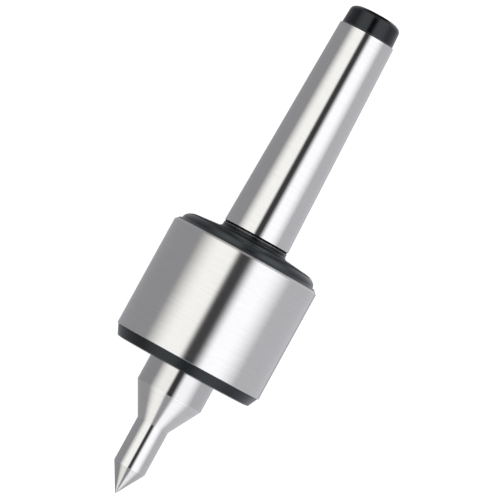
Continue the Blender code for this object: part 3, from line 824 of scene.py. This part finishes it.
def build_front_cap():
    bore = SHOULDER_RADIUS + 0.5 * MM
    pocket = span("nose_seal")[2] + GAP
    outline = [
        (CAP_FACE_RADIUS, CAP_FRONT, EDGE),
        (CAP_BEVEL_RADIUS, CAP_FRONT + CAP_BEVEL, FINE_EDGE),
        (CAP_RADIUS, CAP_FLANGE_END, FINE_EDGE),
        (THREAD_RADIUS, CAP_FLANGE_END, FINE_EDGE),
        *threaded(THREAD_RADIUS, CAP_FLANGE_END, CAP_REAR - CHAMFER),
        (THREAD_RADIUS, CAP_REAR - CHAMFER, FINE_EDGE),
        (THREAD_RADIUS - CHAMFER, CAP_REAR, FINE_EDGE),
        (pocket, CAP_REAR, EDGE),
        (pocket, CAP_FRONT + SEAL_POCKET_DEPTH, FINE_EDGE),
        (bore, CAP_FRONT + SEAL_POCKET_DEPTH, FINE_EDGE),
        (bore, CAP_FRONT + CHAMFER, FINE_EDGE),
        (bore + CHAMFER, CAP_FRONT, FINE_EDGE),
    ]
    edges = ((CAP_BEVEL_RADIUS, CAP_FRONT + CAP_BEVEL), (CAP_RADIUS, CAP_FLANGE_END))
    mesh = lathe("front_cap", outline, CASE_SEGMENTS, None, THREAD_RADIUS)
    oxide = black_oxide("cap_black_oxide", edges, CAP_TINT, CAP_ZONES, 1.41)
    cap = piece("front_cap", mesh, [oxide])
    sink = 0.2 * MM
    drill = (
        (0, MM),
        (SPANNER_HOLE_RADIUS + sink, MM),
        (SPANNER_HOLE_RADIUS + sink, 0),
        (SPANNER_HOLE_RADIUS, -sink),
        (SPANNER_HOLE_RADIUS, SPANNER_HOLE_RADIUS / math.tan(DRILL_HALF_ANGLE) - SPANNER_HOLE_DEPTH),
        (0, -SPANNER_HOLE_DEPTH),
    )
    bm = bmesh.new()
    for place in around(SPANNER_HOLES, SPANNER_PITCH_RADIUS, CAP_FRONT):
        spin(bm, drill, POCKET_SEGMENTS, place)
    cut(cap, bm)


# ---------------------------------------------------------------- inner pieces


def build_nose_seal(finish):
    """Rubber covered ring. Its lip leans on the shoulder and has a groove for a garter spring."""
    front, rear, radius = span("nose_seal")
    lip = SHOULDER_RADIUS + GAP
    waist = lip + SEAL_SKIN
    spring = (waist + 0.1 * MM, rear - 2 * SEAL_SKIN)
    outline = [
        (radius, front, CHAMFER),
        (radius, rear, CHAMFER),
        (radius - SEAL_SKIN, rear, EDGE),
        (radius - SEAL_SKIN, front + SEAL_SKIN, CHAMFER),
        (waist, front + SEAL_SKIN, CHAMFER),
        (waist, spring[1] - 2 * SEAL_SPRING_RADIUS, EDGE),
        *arc(spring, (SEAL_SPRING_RADIUS, SEAL_SPRING_RADIUS), 270, 90, 8),
        (waist, rear - SEAL_SKIN, EDGE),
        (lip, rear - 2 * SEAL_SKIN, CRISP_EDGE),
        (lip + GAP, front + SEAL_SKIN, EDGE),
        (lip, front, FINE_EDGE),
    ]
    piece("nose_seal", lathe("nose_seal", outline), [finish["seal_rubber"]])


def build_front_rings(finish):
    """Outer and inner ring of the front bearing, with their ball grooves."""
    front, rear, radius = span("front_bearing_outer_ring")
    middle = (front + rear) / 2
    groove = FRONT_BALL_RADIUS + ROLL_GAP
    outer_angle = math.degrees(math.acos((RACE_LAND_OUTER - FRONT_PITCH_RADIUS) / groove))
    inner_angle = math.degrees(math.acos((FRONT_PITCH_RADIUS - RACE_LAND_INNER) / groove))
    centre = (FRONT_PITCH_RADIUS, middle)
    outer = [
        (radius - RACE_CHAMFER, front, EDGE),
        (radius, front + RACE_CHAMFER, EDGE),
        (radius, rear - RACE_CHAMFER, EDGE),
        (radius - RACE_CHAMFER, rear, EDGE),
        (SHIELD_SEAT_RADIUS, rear, FINE_EDGE),
        (SHIELD_SEAT_RADIUS, rear - SHIELD_SEAT_DEPTH, FINE_EDGE),
        (RACE_LAND_OUTER, rear - SHIELD_SEAT_DEPTH, FINE_EDGE),
        *arc(centre, (groove, groove), outer_angle, -outer_angle, 20),
        (RACE_LAND_OUTER, front + SHIELD_SEAT_DEPTH, FINE_EDGE),
        (SHIELD_SEAT_RADIUS, front + SHIELD_SEAT_DEPTH, FINE_EDGE),
        (SHIELD_SEAT_RADIUS, front, FINE_EDGE),
    ]
    bore = SEAT_RADIUS + GAP
    inner = [
        (RACE_LAND_INNER, front, FINE_EDGE),
        *arc(centre, (groove, groove), 180 + inner_angle, 180 - inner_angle, 20),
        (RACE_LAND_INNER, rear, FINE_EDGE),
        (bore + RACE_CHAMFER, rear, EDGE),
        (bore, rear - RACE_CHAMFER, EDGE),
        (bore, front + RACE_CHAMFER, EDGE),
        (bore + RACE_CHAMFER, front, EDGE),
    ]
    for name, outline in (("outer", outer), ("inner", inner)):
        node = f"front_bearing_{name}_ring"
        piece(node, lathe(node, outline), [finish["race_steel"]])


def build_shields(finish):
    """Two pressed shields, each with a ring stepped in towards the balls."""
    for side, inward in (("nose", 1), ("tail", -1)):
        node = f"front_bearing_shield_{side}_side"
        front, rear, radius = span(node)
        inner = RACE_LAND_INNER + GAP
        step = inward * SHIELD_STEP
        bends = (radius - 1.2 * MM, radius - 1.7 * MM, inner + 1.7 * MM, inner + 1.2 * MM)
        outline = [
            (radius, front, FINE_EDGE),
            (radius, rear, FINE_EDGE),
            (bends[0], rear, EDGE),
            (bends[1], rear + step, EDGE),
            (bends[2], rear + step, EDGE),
            (bends[3], rear, EDGE),
            (inner, rear, FINE_EDGE),
            (inner, front, FINE_EDGE),
            (bends[3], front, EDGE),
            (bends[2], front + step, EDGE),
            (bends[1], front + step, EDGE),
            (bends[0], front, EDGE),
        ]
        piece(node, lathe(node, outline), [finish["shield_steel"]])


def plain_ring(front, rear, outer, inner, rounding):
    """Outline of a ring with a rectangular section and rounded edges."""
    return [
        (outer, front, rounding),
        (outer, rear, rounding),
        (inner, rear, rounding),
        (inner, front, rounding),
    ]


def cylinder(radius, length):
    return ((0, length / 2), (radius, length / 2), (radius, -length / 2), (0, -length / 2))


def build_front_cage(finish):
    """Moulded cage with one round pocket for each ball."""
    front, rear, radius = span("front_bearing_cage")
    outline = plain_ring(front, rear, radius, FRONT_CAGE_INNER_RADIUS, EDGE)
    cage = piece("front_bearing_cage", lathe("cage", outline), [finish["front_cage_polyamide"]])
    outward = Matrix.Rotation(-math.pi / 2, 4, "Y")
    pocket = cylinder(FRONT_BALL_RADIUS + GAP, 4 * FRONT_BALL_RADIUS)
    bm = bmesh.new()
    for place in around(len(rolling_nodes("front_ball_")), FRONT_PITCH_RADIUS, (front + rear) / 2, outward):
        spin(bm, pocket, POCKET_SEGMENTS, place)
    cut(cage, bm)


def build_spacer(finish):
    front, rear, radius = span("spacer_sleeve")
    outline = plain_ring(front, rear, radius, SEAT_RADIUS + GAP, EDGE)
    piece("spacer_sleeve", lathe("spacer", outline), [finish["spacer_steel"]])


def build_thrust_washers(finish):
    """The two washers of the thrust bearing, each with a shallow ball groove."""
    shaft_front, shaft_rear, shaft_radius = span("thrust_shaft_washer")
    house_front, house_rear, house_radius = span("thrust_housing_washer")
    middle = (shaft_front + house_rear) / 2
    groove = THRUST_BALL_RADIUS + ROLL_GAP
    centre = (THRUST_PITCH_RADIUS, middle)
    spread = math.degrees(math.acos((middle - shaft_rear) / groove))
    shaft = [
        (shaft_radius, shaft_front, CHAMFER),
        (shaft_radius, shaft_rear, EDGE),
        *arc(centre, (groove, groove), -90 + spread, -90 - spread, 16),
        (SEAT_RADIUS + GAP, shaft_rear, EDGE),
        (SEAT_RADIUS + GAP, shaft_front, CHAMFER),
    ]
    housing = [
        *arc(centre, (groove, groove), 90 + spread, 90 - spread, 16),
        (house_radius, house_front, EDGE),
        (house_radius, house_rear, CHAMFER),
        (HOUSING_WASHER_BORE_RADIUS, house_rear, CHAMFER),
        (HOUSING_WASHER_BORE_RADIUS, house_front, EDGE),
    ]
    piece("thrust_shaft_washer", lathe("shaft_washer", shaft), [finish["race_steel"]])
    piece("thrust_housing_washer", lathe("housing_washer", housing), [finish["race_steel"]])


def build_thrust_cage(finish):
    front, rear, radius = span("thrust_cage")
    outline = plain_ring(front, rear, radius, THRUST_CAGE_INNER_RADIUS, EDGE)
    cage = piece("thrust_cage", lathe("thrust_cage", outline), [finish["thrust_cage_brass"]])
    pocket = cylinder(THRUST_BALL_RADIUS + GAP, 4 * THRUST_BALL_RADIUS)
    bm = bmesh.new()
    for place in around(len(rolling_nodes("thrust_ball_")), THRUST_PITCH_RADIUS, (front + rear) / 2):
        spin(bm, pocket, POCKET_SEGMENTS, place)
    cut(cage, bm)


def build_retaining_ring(finish):
    """Snap ring: thinner towards its opening, with a lug and a plier hole at each end."""
    front, rear, _ = span("retaining_ring")
    radius = CLIP_INNER_RADIUS + 2.0 * MM
    hole_radius = (radius + CLIP_INNER_RADIUS) / 2
    half_opening = math.asin(CLIP_OPENING / 2 / hole_radius)
    start, end = math.pi + half_opening, 3 * math.pi - half_opening

    def section_at(angle):
        from_end = min(angle - start, end - angle)
        waist = CLIP_WAIST[0] + (CLIP_WAIST[1] - CLIP_WAIST[0]) * from_end / math.pi
        lug = min(1.0, max(0.0, (LUG_ANGLE + 0.08 - from_end) / 0.08))
        lug = lug * lug * (3 - 2 * lug)
        outer = CLIP_INNER_RADIUS + waist + (radius - CLIP_INNER_RADIUS - waist) * lug
        return plain_ring(front, rear, outer, CLIP_INNER_RADIUS, FINE_EDGE)

    mesh = open_ring("retaining_ring", section_at, start, end, 160)
    ring = piece("retaining_ring", mesh, [finish["clip_spring_steel"]])
    bm = bmesh.new()
    for angle in (start + LUG_ANGLE / 2, end - LUG_ANGLE / 2):
        turn = Matrix.Rotation(-angle, 4, "X")
        place = turn @ Matrix.Translation((TIP_X - (front + rear) / 2, 0, hole_radius))
        spin(bm, cylinder(CLIP_HOLE_RADIUS, 3 * (rear - front)), POCKET_SEGMENTS, place)
    cut(ring, bm)


def build_needle_cup(finish):
    """Drawn cup: a thin shell turned in at both ends."""
    front, rear, radius = span("needle_cup")
    race = NEEDLE_PITCH_RADIUS + NEEDLE_RADIUS + ROLL_GAP
    outline = [
        (radius, front, 0.6 * MM),
        (radius, rear, 0.6 * MM),
        (CUP_LIP_RADIUS, rear, EDGE),
        (CUP_LIP_RADIUS, rear - CUP_WALL, EDGE),
        (race, rear - CUP_WALL, FINE_EDGE),
        (race, front + CUP_WALL, FINE_EDGE),
        (CUP_LIP_RADIUS, front + CUP_WALL, EDGE),
        (CUP_LIP_RADIUS, front, EDGE),
    ]
    piece("needle_cup", lathe("needle_cup", outline), [finish["needle_cup_steel"]])


def build_needle_cage(finish):
    front, rear, radius = span("needle_cage")
    outline = plain_ring(front, rear, radius, NEEDLE_CAGE_INNER_RADIUS, FINE_EDGE)
    cage = piece("needle_cage", lathe("needle_cage", outline), [finish["needle_cage_steel"]])
    size = (NEEDLE_LENGTH + 2 * ROLL_GAP, 2 * (NEEDLE_RADIUS + ROLL_GAP), 4 * NEEDLE_RADIUS)
    bm = bmesh.new()
    for place in around(len(rolling_nodes("needle_")), NEEDLE_PITCH_RADIUS, (front + rear) / 2):
        bmesh.ops.create_cube(bm, size=1, matrix=place @ Matrix.Diagonal((*size, 1)))
    cut(cage, bm)


def build_rolling(prefix, profile, segments, finish):
    """Balls or needles, each round its own middle."""
    for node in rolling_nodes(prefix):
        bm = bmesh.new()
        spin(bm, profile, segments, Matrix.Translation(middle_of(node)))
        piece(node, mesh_of(bm, node), [finish["ball_steel"]])


def ball_profile(radius):
    steps = BALL_SEGMENTS // 2
    turns = [math.pi * step / steps for step in range(1, steps)]
    side = [(radius * math.sin(turn), radius * math.cos(turn)) for turn in turns]
    return [(0, radius), *side, (0, -radius)]


def needle_profile():
    half = NEEDLE_LENGTH / 2
    corners = [(0, half), (NEEDLE_RADIUS, half, EDGE), (NEEDLE_RADIUS, -half, EDGE), (0, -half)]
    return soften(corners, closed=False)


def build_inside():
    finish = inner_finishes()
    build_nose_seal(finish)
    build_front_rings(finish)
    build_shields(finish)
    build_front_cage(finish)
    build_spacer(finish)
    build_thrust_washers(finish)
    build_thrust_cage(finish)
    build_retaining_ring(finish)
    build_needle_cup(finish)
    build_needle_cage(finish)
    build_rolling("front_ball_", ball_profile(FRONT_BALL_RADIUS), BALL_SEGMENTS, finish)
    build_rolling("thrust_ball_", ball_profile(THRUST_BALL_RADIUS), BALL_SEGMENTS, finish)
    build_rolling("needle_", needle_profile(), BALL_SEGMENTS, finish)


# ---------------------------------------------------------------- studio


def softbox(tree, degrees, box, colour):
    """The light of a long softbox, with soft edges."""
    dark_before, full_from, full_to, dark_after = box
    rise = tree.remap(degrees, dark_before, full_from, kind="SMOOTHSTEP")
    fall = tree.remap(degrees, full_to, dark_after, 1.0, 0.0, kind="SMOOTHSTEP")
    share = tree.math("MULTIPLY", rise, fall)
    return tree.add("VectorMath", {0: colour[:3], "Scale": share}, operation="SCALE").outputs[0]


def studio_place(tree):
    """(degrees, slope) of the direction that light comes from."""
    direction = tree.add("TexCoord").outputs["Generated"]
    x, y, z = tree.add("SeparateXYZ", {0: direction}).outputs
    upward = tree.math("ADD", z, 1.0)
    degrees = tree.math("MULTIPLY", tree.math("ARCTAN2", y, upward), 2 * math.degrees(1))
    across = tree.math("SQRT", tree.math("MULTIPLY_ADD", y, y, tree.math("POWER", upward, 2.0)))
    return degrees, tree.math("DIVIDE", x, tree.math("MAXIMUM", across, 0.001))


def light_studio():
    """The same plain light for every piece: two softboxes, a card and a pale room."""
    world = bpy.data.worlds.new("studio")
    bpy.context.scene.world = world
    world.use_nodes = True
    tree = Tree(world.node_tree)
    degrees, slope = studio_place(tree)
    aside = tree.math("ABSOLUTE", degrees)

    shaded = tree.remap(aside, *CAMERA_SHADE, 1.0, 0.0, "SMOOTHSTEP")
    faced = tree.remap(tree.math("ABSOLUTE", slope), *SHADE_ENDS, 1.0, 0.0, "SMOOTHSTEP")
    room_share = tree.remap(tree.math("MULTIPLY", shaded, faced), 0.0, 1.0, 1.0, SHADE_LIGHT)
    room = tree.add("VectorMath", {0: ROOM_COLOUR[:3], "Scale": room_share}, operation="SCALE")
    left = softbox(tree, degrees, LEFT_BOX, LEFT_COLOUR)
    right = softbox(tree, degrees, RIGHT_BOX, RIGHT_COLOUR)
    boxes = tree.add("VectorMath", {0: left, 1: right}, operation="ADD").outputs[0]
    reach = tree.remap(tree.math("ABSOLUTE", slope), *BOX_ENDS, 1.0, 0.0, "SMOOTHSTEP")
    boxes = tree.add("VectorMath", {0: boxes, "Scale": reach}, operation="SCALE").outputs[0]
    card = softbox(tree, degrees, CARD, CARD_COLOUR)
    boxes = tree.add("VectorMath", {0: boxes, 1: card}, operation="MAXIMUM").outputs[0]
    light = tree.add("VectorMath", {0: room.outputs[0], 1: boxes}, operation="MAXIMUM").outputs[0]
    behind = tree.remap(slope, *OPEN_END, kind="SMOOTHSTEP")
    middle = tree.remap(aside, *OPEN_END_SIDES, 1.0, 0.0, "SMOOTHSTEP")
    opening = tree.remap(tree.math("MULTIPLY", behind, middle), 0.0, 1.0, 1.0, OPEN_END_LIGHT)
    light = tree.add("VectorMath", {0: light, "Scale": opening}, operation="SCALE").outputs[0]
    seen = tree.add("LightPath").outputs["Is Camera Ray"]
    background = tree.add("Background", {"Color": tree.blend(seen, light, BACKDROP), "Strength": 1.0})
    tree.add("OutputWorld", {"Surface": background.outputs[0]})


def lay_floor():
    """Pale paper under the drum. It glows to the camera and is left out of reflections."""
    bm = bmesh.new()
    bmesh.ops.create_grid(bm, x_segments=8, y_segments=8, size=FLOOR_SIDE / 2)
    floor = bpy.data.objects.new("floor", mesh_of(bm, "floor"))
    floor.location.z = -DRUM_RADIUS - FLOOR_GAP
    bpy.context.scene.collection.objects.link(floor)
    material, tree = new_material("floor_paper")
    position = tree.add("TexCoord").outputs["Object"]
    fibre = tree.noise(position, 1 / FLOOR_FIBRE, 3.0)
    seen = tree.add("LightPath").outputs["Is Camera Ray"]
    colour = tree.blend(fibre, *FLOOR_PAPER)
    colour = tree.blend(seen, colour, FLOOR_SEEN)
    paper = tree.add("BsdfDiffuse", {"Color": colour})
    glow = tree.add("Emission", {"Strength": tree.math("MULTIPLY", seen, FLOOR_GLOW)})
    both = tree.add("AddShader", {0: paper.outputs[0], 1: glow.outputs[0]})
    tree.add("OutputMaterial", {"Surface": both.outputs[0]})
    floor.data.materials.append(material)
    floor.visible_glossy = False


def place_camera():
    camera = bpy.data.cameras.new("camera")
    camera.sensor_width = SENSOR
    camera.lens = LENS
    camera.clip_start = 0.1
    camera.clip_end = 20.0
    obj = bpy.data.objects.new("camera", camera)
    bpy.context.scene.collection.objects.link(obj)
    obj.location = (CAMERA_X, AIM.y, CAMERA_DISTANCE)
    back = (obj.location - AIM).normalized()
    right = Vector((-math.cos(SPIN_AXIS_SLANT), math.sin(SPIN_AXIS_SLANT), 0))
    right = (right - back * right.dot(back)).normalized()
    up = back.cross(right)
    obj.rotation_euler = Matrix((right, up, back)).transposed().to_euler()
    bpy.context.scene.camera = obj


build_body()
build_spindle()
build_front_cap()
build_inside()
light_studio()
lay_floor()
place_camera()
bpy.context.scene.view_settings.view_transform = "Standard"
